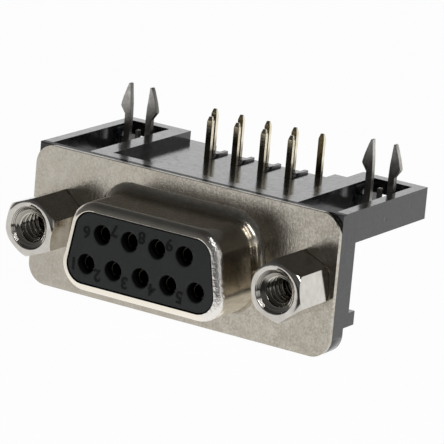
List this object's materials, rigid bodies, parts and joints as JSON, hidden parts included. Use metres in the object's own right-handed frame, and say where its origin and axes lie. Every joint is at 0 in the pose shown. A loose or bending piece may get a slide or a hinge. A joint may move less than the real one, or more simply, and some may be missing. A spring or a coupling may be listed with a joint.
{
  "type": "d-sub connector",
  "caption": "Right-angle board-mounted socket connector: D-shaped metal shroud on a flange, screwlocks at both ends, black bracket with fork board locks and bent solder tails.",
  "frame": {"origin": "centre of the D on the front face of the flange", "axes": "+X right seen from the mating side, +Y from the mating side to the back, +Z to the circuit board that the tails enter"},
  "size_m": [0.0308, 0.0204, 0.0165],
  "materials": {
    "shell_steel": "satin plated sheet",
    "insulator": "matte moulded",
    "bracket": "glossy moulded",
    "contact": "pale plated",
    "lock_steel": "dark satin sheet",
    "nickel": "polished plated"
  },
  "bodies": {
    "root": {"front_shell": "shell_steel", "front_insulator": "insulator", "rear_insulator": "insulator", "bracket": "bracket", "contact_1": "contact", "contact_2": "contact", "contact_3": "contact", "contact_4": "contact", "contact_5": "contact", "contact_6": "contact", "contact_7": "contact", "contact_8": "contact", "contact_9": "contact", "boardlock_left": "lock_steel", "boardlock_right": "lock_steel", "screwlock_left": "nickel", "screwlock_right": "nickel", "locknut_left": "nickel", "locknut_right": "nickel"}
  },
  "joints": []
}
